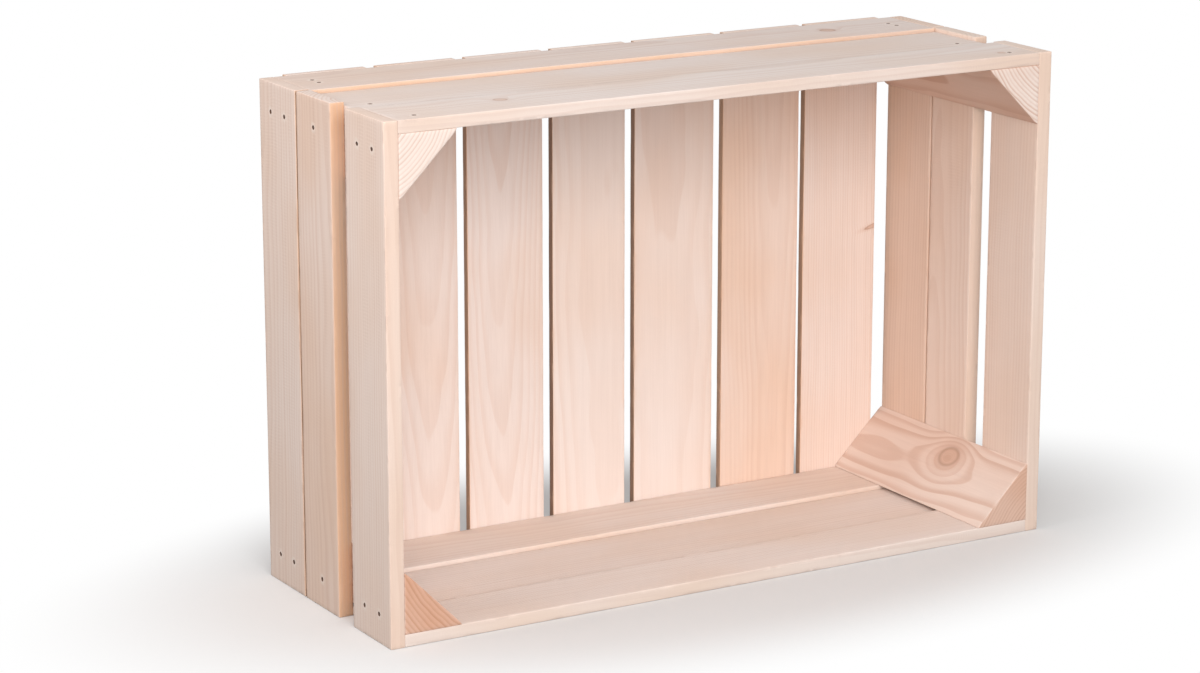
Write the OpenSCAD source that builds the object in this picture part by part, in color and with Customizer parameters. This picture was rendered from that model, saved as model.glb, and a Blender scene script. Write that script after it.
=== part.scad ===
// Wooden crate of sawn pine boards, standing on one long side with its open rim to the front.
// X runs along the crate, Y from the open rim to the slatted base, Z up across the crate.
// The origin is at the middle of the underside. All sizes are in millimetres.

/* [Crate] */
// Length of the crate, over both ends
crate_l = 600; // [400:5:800]
// Width of the crate, over both long sides
crate_w = 400; // [250:5:600]
// Depth of the frame, from the open rim to the base slats
frame_d = 210; // [190:1:300]

/* [Long sides] */
// Thickness of the front and back boards of a long side
side_t = 10; // [8:0.5:16]
// Thickness of the thinner middle board of a long side
side_mid_t = 7; // [5:0.5:8]
// Width of the front board of a long side
side_front_w = 60; // [40:1:70]
// Width of the middle board of a long side
side_mid_w = 82; // [50:1:90]
// Seam between two boards of a long side
side_seam = 0.6; // [0.2:0.1:3]

/* [Ends] */
// Thickness of the end boards
end_t = 12; // [9:0.5:18]
// Width of the front board of an end
end_front_w = 63; // [45:1:70]
// Hand gap between the front and middle boards of an end
hand_gap = 24; // [18:1:30]
// Width of the middle board of an end
end_mid_w = 58; // [40:1:62]
// Seam between the middle and back boards of an end
end_seam = 1.5; // [0.2:0.1:4]

/* [Corner posts] */
// Leg of the triangle that a corner post has in section
post_leg = 48; // [44:1:70]
// Blunt width that the saw left at the thin tips of a post
post_tip = 1.2; // [0.6:0.1:3]

/* [Base slats] */
// Thickness of the base slats
slat_t = 7; // [5:0.5:12]
// Distance of the row of slats in from the outer faces of the ends
row_in = 22.75; // [18:0.25:30]
// Gap between neighbouring base slats
slat_gap = 8.6; // [4:0.1:12]
// Narrower gap before the last slat
last_gap = 5.5; // [3:0.1:12]
// Width of base slat 1, nearest the left end, before the row is fitted between its ends
slat_1_w = 70; // [50:1:85]
// Width of base slat 2, before the fit
slat_2_w = 70; // [50:1:85]
// Width of base slat 3, before the fit
slat_3_w = 70; // [50:1:85]
// Width of base slat 4, before the fit
slat_4_w = 69; // [50:1:85]
// Width of base slat 5, before the fit
slat_5_w = 77; // [50:1:85]
// Width of base slat 6, before the fit
slat_6_w = 76; // [50:1:85]
// Width of base slat 7, nearest the right end, before the fit
slat_7_w = 74; // [50:1:85]

/* [Edges] */
// Eased arris along the long edges of every board
arris = 0.8; // [0.2:0.1:2]

/* [Nails] */
// Diameter of a nail's shank
nail_d = 2.2; // [1.6:0.1:3]
// Diameter of a nail's head
nail_head_d = 3.6; // [3.2:0.1:4.5]
// Thickness of a nail's head
nail_head_t = 0.8; // [0.5:0.1:1.5]
// How far a nail's head is sunk below the wood
nail_sink = 0.9; // [0.3:0.1:1.5]
// Length of a nail, under its sunk head, in the sides and ends
nail_len = 28; // [24:1:34]
// Length of a nail, under its sunk head, in the base slats
slat_nail_len = 27; // [20:1:32]
// Length of a nail's point
nail_point = 4; // [2:0.5:6]
// Clearance on the diameter between a nail and its hole
nail_clear = 0.1; // [0.05:0.05:0.3]
// Height of the end nails in from the outer faces of the long sides
end_nail_in = 23; // [18:1:26]
// Distance of the side nails in from the outer faces of the ends
side_nail_in = 32; // [28:1:34]
// Half the spacing of the two nails in the front and back end boards
end_pair = 12; // [9:0.5:14]
// Half the spacing of the two nails in the back board of a long side
side_pair = 6; // [4:0.5:7]
// Distance of the nail in a front side board from the open rim
side_front_nail = 14; // [11:1:15]
// Distance of the nail in a middle side board from its front edge
side_mid_nail = 24; // [12:1:36]
// Distance of the nails in a base slat from the slat's edges
slat_nail_in = 15; // [10:1:20]

/* [Hidden] */
$fn = 24;
eps = 0.01;

total_d = frame_d + slat_t;
inner_l = crate_l - 2 * end_t;

// Places of the boards, measured from the open rim
side_mid_y = side_front_w + side_seam;
side_back_y = side_mid_y + side_mid_w + side_seam;
side_back_w = frame_d - side_back_y;
end_mid_y = end_front_w + hand_gap;
end_back_y = end_mid_y + end_mid_w + end_seam;
end_back_w = frame_d - end_back_y;

// The slats fill the row between its two ends: their widths are all eased by one factor, which is 1
// at the sizes above, so that a longer or shorter crate gets wider or narrower slats
slat_cut_w = [slat_1_w, slat_2_w, slat_3_w, slat_4_w, slat_5_w, slat_6_w, slat_7_w];
slat_n = len(slat_cut_w);
function sum_to(list, n) = n <= 0 ? 0 : list[n - 1] + sum_to(list, n - 1);
function gaps_before(i) = i < slat_n - 1 ? i * slat_gap : (i - 1) * slat_gap + last_gap;
row_wood = crate_l - 2 * row_in - gaps_before(slat_n - 1);
slat_fit = row_wood / sum_to(slat_cut_w, slat_n);
slat_w = [for (w = slat_cut_w) w * slat_fit];
function slat_x(i) = row_in + sum_to(slat_w, i) + gaps_before(i);

// Nail places, measured from the open rim
side_nail_ys = [
    side_front_nail,
    side_mid_y + side_mid_nail,
    side_back_y + side_back_w / 2 - side_pair,
    side_back_y + side_back_w / 2 + side_pair
];
end_nail_ys = [
    end_front_w / 2 - end_pair,
    end_front_w / 2 + end_pair,
    end_mid_y + end_mid_w / 2,
    end_back_y + end_back_w / 2 - end_pair,
    end_back_y + end_back_w / 2 + end_pair
];
side_nail_xs = [side_nail_in, crate_l - side_nail_in];
end_nail_zs = [end_nail_in, crate_w - end_nail_in];
slat_nail_zs = [side_t / 2, crate_w - side_t / 2];
mid_drop = side_t - side_mid_t;

pale_pine = [0.90, 0.80, 0.69];
warm_pine = [0.88, 0.73, 0.58];
end_grain = [0.80, 0.60, 0.44];
nail_steel = [0.42, 0.41, 0.40];

// Puts a shape drawn from the crate's left, front, lower corner into the part's frame
module placed() {
    translate([-crate_l / 2, -total_d / 2, 0]) children();
}

// Copies a shape of the left half to the right, mirrored about the crate's middle
module mirrored_x() {
    translate([crate_l, 0, 0]) mirror([1, 0, 0]) children();
}

// Copies a shape of the lower half to the upper, mirrored about the crate's middle
module mirrored_z() {
    translate([0, 0, crate_w]) mirror([0, 0, 1]) children();
}

// Section of a board: a rectangle w by t whose four corners are eased by the arris
module board_section(w, t) {
    polygon([
        [arris, 0], [w - arris, 0], [w, arris], [w, t - arris],
        [w - arris, t], [arris, t], [0, t - arris], [0, arris]
    ]);
}

// Board lying flat: length along X, width along Y, thickness along Z
module flat_board(l, w, t) {
    rotate([90, 0, 90]) linear_extrude(l) board_section(w, t);
}

// Board standing against an end: length along Z, width along Y, thickness along X
module end_board(l, w, t) {
    rotate([0, -90, 0]) mirror([0, 0, 1]) rotate([90, 0, 90]) linear_extrude(l) board_section(w, t);
}

// Board standing across the base: length along Z, width along X, thickness along Y
module base_board(l, w, t) {
    linear_extrude(l) board_section(w, t);
}

// Nail driven along +Z from a face at Z = 0, its head sunk below the face
module nail(l) {
    shank_l = nail_head_t + l - nail_point;
    translate([0, 0, nail_sink]) {
        cylinder(h = nail_head_t, d = nail_head_d);
        cylinder(h = shank_l, d = nail_d);
        translate([0, 0, shank_l]) cylinder(h = nail_point, d1 = nail_d, d2 = nail_d / 4);
    }
}

// Hole that such a nail makes: a countersink for the head, and a bore for the shank
module nail_hole(l) {
    translate([0, 0, -eps]) cylinder(h = nail_sink + nail_head_t + eps, d = nail_head_d + nail_clear);
    cylinder(h = nail_sink + nail_head_t + l + nail_clear, d = nail_d + nail_clear);
}

// Nails of the lower long side, driven up through its boards into the posts
module at_side_nails(rows) {
    for (x = side_nail_xs, i = rows) translate([x, side_nail_ys[i], 0]) children();
}

// Nails of the upper long side: the middle board's face lies lower there, and so do its nails
module at_upper_side_nails(rows) {
    for (x = side_nail_xs, i = rows)
        translate([x, side_nail_ys[i], crate_w - (i == 1 ? mid_drop : 0)]) mirror([0, 0, 1]) children();
}

// Nails of the left end, driven in through its boards into the posts
module at_end_nails(rows) {
    for (z = end_nail_zs, i = rows) translate([0, end_nail_ys[i], z]) rotate([0, 90, 0]) children();
}

// Nails of base slat i, driven through it into the back edges of the long sides
module at_slat_nails(i) {
    for (z = slat_nail_zs, x = [slat_x(i) + slat_nail_in, slat_x(i) + slat_w[i] - slat_nail_in])
        translate([x, total_d, z]) rotate([90, 0, 0]) children();
}

// Holes that the slats' nails leave in the back edges of the long sides
module slat_nail_holes() {
    for (i = [0 : slat_n - 1]) at_slat_nails(i) nail_hole(slat_nail_len);
}

// Front, middle and back boards of the lower long side
module lower_front_shape() {
    difference() {
        translate([end_t, 0, 0]) flat_board(inner_l, side_front_w, side_t);
        at_side_nails([0]) nail_hole(nail_len);
    }
}

module lower_middle_shape() {
    difference() {
        translate([end_t, side_mid_y, 0]) flat_board(inner_l, side_mid_w, side_mid_t);
        at_side_nails([1]) nail_hole(nail_len);
    }
}

module lower_back_shape() {
    difference() {
        translate([end_t, side_back_y, 0]) flat_board(inner_l, side_back_w, side_t);
        at_side_nails([2, 3]) nail_hole(nail_len);
        slat_nail_holes();
    }
}

// Front, middle and back boards of the left end
module end_front_shape() {
    difference() {
        end_board(crate_w, end_front_w, end_t);
        at_end_nails([0, 1]) nail_hole(nail_len);
    }
}

module end_middle_shape() {
    difference() {
        translate([0, end_mid_y, 0]) end_board(crate_w, end_mid_w, end_t);
        at_end_nails([2]) nail_hole(nail_len);
    }
}

module end_back_shape() {
    difference() {
        translate([0, end_back_y, 0]) end_board(crate_w, end_back_w, end_t);
        at_end_nails([3, 4]) nail_hole(nail_len);
    }
}

// Section of a corner post: a right triangle, blunt at its two thin tips
module post_section() {
    polygon([[0, 0], [post_leg, 0], [post_leg, post_tip], [post_tip, post_leg], [0, post_leg]]);
}

// Lower left corner post, running from the open rim to the base slats
module post_shape() {
    translate([end_t, frame_d, side_t]) rotate([90, 0, 0]) linear_extrude(frame_d) post_section();
}

// A post is cut by the nails of the long side and the end that it joins
module lower_left_post() {
    color(end_grain) placed() difference() {
        post_shape();
        at_side_nails([0 : 3]) nail_hole(nail_len);
        at_end_nails([0 : 4]) nail_hole(nail_len);
    }
}

module lower_right_post() {
    color(end_grain) placed() difference() {
        mirrored_x() post_shape();
        at_side_nails([0 : 3]) nail_hole(nail_len);
        mirrored_x() at_end_nails([0 : 4]) nail_hole(nail_len);
    }
}

module upper_left_post() {
    color(pale_pine) placed() difference() {
        mirrored_z() post_shape();
        at_upper_side_nails([0 : 3]) nail_hole(nail_len);
        at_end_nails([0 : 4]) nail_hole(nail_len);
    }
}

module upper_right_post() {
    color(warm_pine) placed() difference() {
        mirrored_x() mirrored_z() post_shape();
        at_upper_side_nails([0 : 3]) nail_hole(nail_len);
        mirrored_x() at_end_nails([0 : 4]) nail_hole(nail_len);
    }
}

module lower_side_front_board() { color(pale_pine) placed() lower_front_shape(); }
module lower_side_middle_board() { color(pale_pine) placed() lower_middle_shape(); }
module lower_side_back_board() { color(pale_pine) placed() lower_back_shape(); }

module upper_side_front_board() { color(pale_pine) placed() mirrored_z() lower_front_shape(); }
module upper_side_back_board() { color(warm_pine) placed() mirrored_z() lower_back_shape(); }

// The upper middle board bears on the posts, so its outer face lies below its neighbours'
module upper_side_middle_board() {
    color(pale_pine) placed() translate([0, 0, -mid_drop]) mirrored_z() lower_middle_shape();
}

module left_end_front_board() { color(pale_pine) placed() end_front_shape(); }
module left_end_middle_board() { color(pale_pine) placed() end_middle_shape(); }
module left_end_back_board() { color(pale_pine) placed() end_back_shape(); }
module right_end_front_board() { color(warm_pine) placed() mirrored_x() end_front_shape(); }
module right_end_middle_board() { color(warm_pine) placed() mirrored_x() end_middle_shape(); }
module right_end_back_board() { color(warm_pine) placed() mirrored_x() end_back_shape(); }

// Base slat i, counted from 0 at the left, nailed over the back edges of the frame
module base_slat(i) {
    color(pale_pine) placed() difference() {
        translate([slat_x(i), frame_d, 0]) base_board(crate_w, slat_w[i], slat_t);
        at_slat_nails(i) nail_hole(slat_nail_len);
    }
}

module base_slat_1() { base_slat(0); }
module base_slat_2() { base_slat(1); }
module base_slat_3() { base_slat(2); }
module base_slat_4() { base_slat(3); }
module base_slat_5() { base_slat(4); }
module base_slat_6() { base_slat(5); }
module base_slat_7() { base_slat(6); }

module lower_side_nails() { color(nail_steel) placed() at_side_nails([0 : 3]) nail(nail_len); }
module upper_side_nails() { color(nail_steel) placed() at_upper_side_nails([0 : 3]) nail(nail_len); }
module left_end_nails() { color(nail_steel) placed() at_end_nails([0 : 4]) nail(nail_len); }
module right_end_nails() { color(nail_steel) placed() mirrored_x() at_end_nails([0 : 4]) nail(nail_len); }

module base_nails() {
    color(nail_steel) placed() for (i = [0 : slat_n - 1]) at_slat_nails(i) nail(slat_nail_len);
}

lower_side_front_board();
lower_side_middle_board();
lower_side_back_board();
upper_side_front_board();
upper_side_middle_board();
upper_side_back_board();
left_end_front_board();
left_end_middle_board();
left_end_back_board();
right_end_front_board();
right_end_middle_board();
right_end_back_board();
lower_left_post();
lower_right_post();
upper_left_post();
upper_right_post();
base_slat_1();
base_slat_2();
base_slat_3();
base_slat_4();
base_slat_5();
base_slat_6();
base_slat_7();
lower_side_nails();
upper_side_nails();
left_end_nails();
right_end_nails();
base_nails();
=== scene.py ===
# %% [markdown]
# # A crate of raw sawn pine
# The crate is built as a packer would nail it: three boards for each long side, three for each end, seven
# slats for the base and a triangular post in each inner corner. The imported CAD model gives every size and
# place. This script gives each piece its sawn shape and its wood, and the nails their steel.

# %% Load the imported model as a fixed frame
import math

import bpy
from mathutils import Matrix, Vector


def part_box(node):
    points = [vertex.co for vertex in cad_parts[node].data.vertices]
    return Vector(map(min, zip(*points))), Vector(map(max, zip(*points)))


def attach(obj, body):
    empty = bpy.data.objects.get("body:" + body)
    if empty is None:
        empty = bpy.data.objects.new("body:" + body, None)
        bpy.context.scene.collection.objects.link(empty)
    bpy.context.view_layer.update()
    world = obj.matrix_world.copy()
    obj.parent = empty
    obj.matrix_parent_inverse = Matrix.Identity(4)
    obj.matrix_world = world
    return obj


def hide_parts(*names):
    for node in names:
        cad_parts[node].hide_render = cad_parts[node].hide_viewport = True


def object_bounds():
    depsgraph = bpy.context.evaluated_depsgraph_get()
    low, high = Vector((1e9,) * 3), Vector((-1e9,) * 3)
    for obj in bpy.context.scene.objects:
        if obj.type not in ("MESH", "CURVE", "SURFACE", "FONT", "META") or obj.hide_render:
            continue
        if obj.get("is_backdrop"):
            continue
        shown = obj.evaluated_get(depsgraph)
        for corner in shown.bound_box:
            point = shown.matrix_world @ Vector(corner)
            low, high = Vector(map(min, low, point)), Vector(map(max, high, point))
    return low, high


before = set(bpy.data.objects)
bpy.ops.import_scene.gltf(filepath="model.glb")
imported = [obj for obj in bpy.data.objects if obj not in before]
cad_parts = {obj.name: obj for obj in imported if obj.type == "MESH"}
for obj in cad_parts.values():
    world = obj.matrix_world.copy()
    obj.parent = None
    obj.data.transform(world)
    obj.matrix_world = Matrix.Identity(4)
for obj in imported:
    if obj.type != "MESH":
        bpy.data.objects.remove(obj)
cad_low, cad_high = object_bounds()
print("crate, in metres:", [round(side, 4) for side in cad_high - cad_low])

# %% [markdown]
# ## Helpers
# A colour is written as the sRGB hex value that a paint program shows, but Blender's sockets take linear
# light, so one function converts it. A second function adds a node, gives it its settings and fills or links
# its inputs. It is the only helper for nodes, so that every tree below reads the same way: a value that is a
# node is linked from its first output in use, and a socket from itself.

# %% One function for colours and one for nodes
MM = 0.001
MATH = "ShaderNodeMath"
VECTOR = "ShaderNodeVectorMath"
RANGE = "ShaderNodeMapRange"
NOISE = "ShaderNodeTexNoise"
MIX = "ShaderNodeMix"


def linear(hex_colour):
    """An sRGB hex colour, such as "#EAD2BC", as linear RGBA."""
    channels = [int(hex_colour[i:i + 2], 16) / 255 for i in (1, 3, 5)]
    return [c / 12.92 if c <= 0.04045 else ((c + 0.055) / 1.055) ** 2.4 for c in channels] + [1.0]


def put(tree, kind, inputs=None, **settings):
    """Adds a node of this kind to the tree, with its settings, and fills or links its inputs."""
    node = tree.nodes.new(kind)
    for name, value in settings.items():
        setattr(node, name, value)
    sockets = {socket.identifier: socket for socket in node.inputs}
    for key, value in (inputs or {}).items():
        socket = node.inputs[key] if isinstance(key, int) or key not in sockets else sockets[key]
        if isinstance(value, bpy.types.Node):
            value = next(output for output in value.outputs if output.enabled)
        if isinstance(value, bpy.types.NodeSocket):
            tree.links.new(value, socket)
        else:
            socket.default_value = value
    return node


print("linear light of a mid grey:", [round(c, 3) for c in linear("#808080")])

# %% [markdown]
# ## The sawn board
# A real board of this kind comes off a multi-blade saw: straight, with arrises that are sharp but fuzzy,
# edges that wander by a few tenths of a millimetre, and the odd torn fibre. A bevelled cube would be too
# clean, and sculpting 23 pieces by hand would never end. So one Geometry Nodes tree makes them all from
# their size: it takes a grid in the shape of a box, packs some of its rows into the arrises, rounds those,
# and then pushes the surface inwards by noise that is stretched along the grain. Pushing only inwards keeps
# every piece inside the size that the CAD gives. A corner post is the same box with one corner cut off by
# the saw, so the tree can pull that corner in to a slope.

# %% Start the tree of the sawn board and name its inputs
BOARD_INPUTS = {
    "Low corner": "NodeSocketVector", "Size": "NodeSocketVector", "Cell": "NodeSocketFloat",
    "Arris": "NodeSocketFloat", "Across": "NodeSocketVector", "Through": "NodeSocketVector",
    "Along": "NodeSocketVector", "Corner": "NodeSocketVector", "Tip": "NodeSocketFloat",
    "Cup": "NodeSocketFloat", "Wander": "NodeSocketFloat", "Nick": "NodeSocketFloat",
    "Seed": "NodeSocketFloat", "Pith": "NodeSocketVector", "Lean": "NodeSocketVector",
    "Warmth": "NodeSocketVector", "Figure": "NodeSocketVector", "Knot A": "NodeSocketVector",
    "Knot B": "NodeSocketVector", "Nail places": "NodeSocketObject", "Material": "NodeSocketMaterial",
}


def new_tree(name, inputs):
    """An empty Geometry Nodes tree with these named inputs and one geometry output."""
    tree = bpy.data.node_groups.new(name, "GeometryNodeTree")
    for label, kind in inputs.items():
        tree.interface.new_socket(label, in_out="INPUT", socket_type=kind)
    tree.interface.new_socket("Geometry", in_out="OUTPUT", socket_type="NodeSocketGeometry")
    return tree


board_tree = new_tree("sawn_board", BOARD_INPUTS)
given = put(board_tree, "NodeGroupInput").outputs
print("inputs of the sawn board:", ", ".join(BOARD_INPUTS))

# %% [markdown]
# The grid has a few rows in each arris and even cells between them. How many cells there are follows from the
# size, so a post and a long board get cells of the same real size. Three Map Range nodes, one for each end of
# a side and one for its middle, turn the even grid into that spacing in all three directions at once.

# %% Space the grid's rows
ARRIS_ROWS = 3.0
three = [ARRIS_ROWS] * 3
arris = put(board_tree, "ShaderNodeCombineXYZ", {0: given["Arris"], 1: given["Arris"], 2: given["Arris"]})
inner_size = put(board_tree, VECTOR, {
    0: given["Size"], 1: put(board_tree, VECTOR, {0: arris, 1: [2.0] * 3}, operation="MULTIPLY"),
}, operation="SUBTRACT")
cell = put(board_tree, "ShaderNodeCombineXYZ", {0: given["Cell"], 1: given["Cell"], 2: given["Cell"]})
cells = put(board_tree, VECTOR, {
    0: put(board_tree, VECTOR, {0: inner_size, 1: cell}, operation="DIVIDE"),
}, operation="CEIL")
steps = put(board_tree, VECTOR, {0: cells, 1: [2 * ARRIS_ROWS] * 3}, operation="ADD")
rows = put(board_tree, "ShaderNodeSeparateXYZ", {
    0: put(board_tree, VECTOR, {0: steps, 1: [1.0] * 3}, operation="ADD"),
})
block = put(board_tree, "GeometryNodeMeshCube", {
    "Size": [1.0] * 3, "Vertices X": rows.outputs[0], "Vertices Y": rows.outputs[1],
    "Vertices Z": rows.outputs[2],
})
even = put(board_tree, VECTOR, {
    0: put(board_tree, "GeometryNodeInputPosition"), 1: [0.5] * 3,
}, operation="ADD")
share = put(board_tree, VECTOR, {0: three, 1: steps}, operation="DIVIDE")
far_share = put(board_tree, VECTOR, {0: [1.0] * 3, 1: share}, operation="SUBTRACT")
near_rows = put(board_tree, RANGE, {
    "Vector": even, "From_Min_FLOAT3": [0.0] * 3, "From_Max_FLOAT3": share,
    "To_Min_FLOAT3": [0.0] * 3, "To_Max_FLOAT3": arris,
}, data_type="FLOAT_VECTOR")
middle_rows = put(board_tree, RANGE, {
    "Vector": even, "From_Min_FLOAT3": share, "From_Max_FLOAT3": far_share,
    "To_Min_FLOAT3": [0.0] * 3, "To_Max_FLOAT3": inner_size,
}, data_type="FLOAT_VECTOR")
far_rows = put(board_tree, RANGE, {
    "Vector": even, "From_Min_FLOAT3": far_share, "From_Max_FLOAT3": [1.0] * 3,
    "To_Min_FLOAT3": [0.0] * 3, "To_Max_FLOAT3": arris,
}, data_type="FLOAT_VECTOR")
spaced = put(board_tree, VECTOR, {
    0: put(board_tree, VECTOR, {0: near_rows, 1: middle_rows}, operation="ADD"), 1: far_rows,
}, operation="ADD")
print("rows in each arris:", int(ARRIS_ROWS))

# %% [markdown]
# An arris is rounded by measuring how far a point lies outside the box that is smaller by the arris, and
# setting that distance to the arris itself. The same distances say where the long arrises and the sawn end
# rims are, which is kept as an attribute: the fibres are torn there, and the wood shader uses it too.

# %% Round the arrises
shrunk = put(board_tree, VECTOR, {0: given["Size"], 1: arris}, operation="SUBTRACT")
core = put(board_tree, VECTOR, {
    0: put(board_tree, VECTOR, {0: spaced, 1: arris}, operation="MAXIMUM"), 1: shrunk,
}, operation="MINIMUM")
outside = put(board_tree, VECTOR, {0: spaced, 1: core}, operation="SUBTRACT")
rounded = put(board_tree, VECTOR, {
    0: core,
    1: put(board_tree, VECTOR, {
        0: put(board_tree, VECTOR, {0: outside}, operation="NORMALIZE"), "Scale": given["Arris"],
    }, operation="SCALE"),
}, operation="ADD")
beyond = put(board_tree, VECTOR, {
    0: put(board_tree, VECTOR, {0: outside, 1: arris}, operation="DIVIDE"),
}, operation="ABSOLUTE")
off_across = put(board_tree, VECTOR, {0: beyond, 1: given["Across"]}, operation="DOT_PRODUCT")
off_through = put(board_tree, VECTOR, {0: beyond, 1: given["Through"]}, operation="DOT_PRODUCT")
off_along = put(board_tree, VECTOR, {0: beyond, 1: given["Along"]}, operation="DOT_PRODUCT")
long_arris = put(board_tree, MATH, {0: off_across, 1: off_through}, operation="MULTIPLY")
end_rim = put(board_tree, MATH, {
    0: off_along, 1: put(board_tree, MATH, {0: off_across, 1: off_through}, operation="MAXIMUM"),
}, operation="MULTIPLY")

# %% [markdown]
# For a post, each point's place in the square section is measured from the corner that stays square. Where
# the two places add up to more than one, the point is pulled back along its line to that corner, so that the
# far corner of the square becomes the middle of the sawn slope. The two thin tips stay a little blunt, as a
# saw leaves them. A board has no such corner: its Corner input is zero, and nothing is pulled.

# %% Cut the posts' slope
centred = put(board_tree, VECTOR, {
    0: put(board_tree, VECTOR, {0: rounded, 1: given["Size"]}, operation="DIVIDE"), 1: [0.5] * 3,
}, operation="SUBTRACT")
from_corner = put(board_tree, VECTOR, {
    0: [0.5] * 3, 1: put(board_tree, VECTOR, {0: centred, 1: given["Corner"]}, operation="MULTIPLY"),
}, operation="SUBTRACT")
leg = put(board_tree, "ShaderNodeSeparateXYZ", {0: from_corner})
leg_sum = put(board_tree, MATH, {0: leg.outputs[0], 1: leg.outputs[2]}, operation="ADD")
leg_most = put(board_tree, MATH, {0: leg.outputs[0], 1: leg.outputs[2]}, operation="MAXIMUM")
leg_least = put(board_tree, MATH, {0: leg.outputs[0], 1: leg.outputs[2]}, operation="MINIMUM")
blunt = put(board_tree, MATH, {0: given["Tip"], 1: 1.0}, operation="ADD")
pull = put(board_tree, MATH, {
    0: put(board_tree, MATH, {
        0: put(board_tree, MATH, {0: leg_most, 1: blunt}, operation="MULTIPLY"), 1: leg_sum,
    }, operation="DIVIDE"), 1: 1.0,
}, operation="MINIMUM")
pulled = put(board_tree, VECTOR, {0: from_corner, "Scale": pull}, operation="SCALE")
sloped = put(board_tree, VECTOR, {
    0: put(board_tree, VECTOR, {0: [0.5] * 3, 1: pulled}, operation="SUBTRACT"), 1: given["Corner"],
}, operation="MULTIPLY")
post_place = put(board_tree, VECTOR, {
    0: put(board_tree, VECTOR, {
        0: sloped, 1: put(board_tree, VECTOR, {0: centred, 1: given["Along"]}, operation="MULTIPLY"),
    }, operation="ADD"), 1: [0.5] * 3,
}, operation="ADD")
is_post = put(board_tree, VECTOR, {0: given["Corner"]}, operation="LENGTH")
place = put(board_tree, "GeometryNodeSwitch", {
    "Switch": put(board_tree, MATH, {0: is_post.outputs["Value"], 1: 0.5}, operation="GREATER_THAN"),
    "False": rounded,
    "True": put(board_tree, VECTOR, {0: post_place, 1: given["Size"]}, operation="MULTIPLY"),
}, input_type="VECTOR")
on_slope = put(board_tree, MATH, {0: leg_least, 1: 0.6}, operation="LESS_THAN")
torn = put(board_tree, MATH, {
    0: put(board_tree, MATH, {0: long_arris, 1: on_slope}, operation="MULTIPLY"), 1: end_rim,
}, operation="MAXIMUM")
marked = put(board_tree, "GeometryNodeStoreNamedAttribute", {
    "Geometry": block, "Name": "arris", "Value": torn,
}, data_type="FLOAT", domain="POINT")
shaped = put(board_tree, "GeometryNodeSetPosition", {
    "Geometry": marked,
    "Position": put(board_tree, VECTOR, {0: place, 1: given["Low corner"]}, operation="ADD"),
})

# %% [markdown]
# The surface is then pushed inwards along its normal. The wide faces get a faint cup, the narrow edges
# wander more, and the arrises get nicks where a fibre was torn out. Each noise is read in the board's own
# directions, at a scale for each: it changes ten times more slowly along the grain than across it, because
# that is how wood breaks.

# %% Roughen the sawn surface
normal = put(board_tree, "GeometryNodeInputNormal").outputs["Normal"]
at = put(board_tree, "GeometryNodeInputPosition")
centre = put(board_tree, VECTOR, {
    0: given["Low corner"], 1: put(board_tree, VECTOR, {0: given["Size"], "Scale": 0.5}, operation="SCALE"),
}, operation="ADD")
offset = put(board_tree, VECTOR, {0: at, 1: centre}, operation="SUBTRACT")
board_at = put(board_tree, "ShaderNodeCombineXYZ", {
    i: put(board_tree, VECTOR, {0: offset, 1: given[side]}, operation="DOT_PRODUCT")
    for i, side in enumerate(("Across", "Through", "Along"))
})
facing = [
    put(board_tree, MATH, {
        0: put(board_tree, VECTOR, {0: normal, 1: given[side]}, operation="DOT_PRODUCT"),
    }, operation="ABSOLUTE")
    for side in ("Across", "Through", "Along")
]


def board_noise(per_metre, detail):
    """Noise from 0 to 1 over the board, with its own scale across, through and along the board."""
    scaled = put(board_tree, VECTOR, {0: board_at, 1: per_metre}, operation="MULTIPLY")
    return put(board_tree, NOISE, {
        "Vector": scaled, "W": given["Seed"], "Scale": 1.0, "Detail": detail, "Roughness": 0.5,
    }, noise_dimensions="4D")


cup = put(board_tree, MATH, {0: board_noise([16, 16, 4], 1.0), 1: given["Cup"]}, operation="MULTIPLY")
wander = put(board_tree, MATH, {0: board_noise([12, 12, 14], 2.0), 1: given["Wander"]}, operation="MULTIPLY")
tear = put(board_tree, RANGE, {
    "Value": board_noise([420, 420, 55], 1.0), "From Min": 0.5, "From Max": 0.8, "To Min": 0.0, "To Max": 1.0,
})
at_arris = put(board_tree, "GeometryNodeInputNamedAttribute", {"Name": "arris"}, data_type="FLOAT")
nick = put(board_tree, MATH, {
    0: put(board_tree, MATH, {0: tear, 1: at_arris}, operation="MULTIPLY"), 1: given["Nick"],
}, operation="MULTIPLY")
depth = put(board_tree, MATH, {
    0: put(board_tree, MATH, {0: cup, 1: facing[1]}, operation="MULTIPLY"),
    1: put(board_tree, MATH, {0: wander, 1: facing[0]}, operation="MULTIPLY"),
}, operation="ADD")
inward_depth = put(board_tree, MATH, {
    0: put(board_tree, MATH, {0: depth, 1: nick}, operation="ADD"), 1: -1.0,
}, operation="MULTIPLY")
sawn = put(board_tree, "GeometryNodeSetPosition", {
    "Geometry": shaped,
    "Offset": put(board_tree, VECTOR, {0: normal, "Scale": inward_depth}, operation="SCALE"),
})

# %% [markdown]
# A nail gun leaves a small ragged pit where it sinks each nail. The pits are real hollows: the tree sets a
# rough little cone on each nail's place that touches this board, and takes them all away from the board with
# one Mesh Boolean. The places come in as a mesh of points, with each nail's direction as an attribute.

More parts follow.
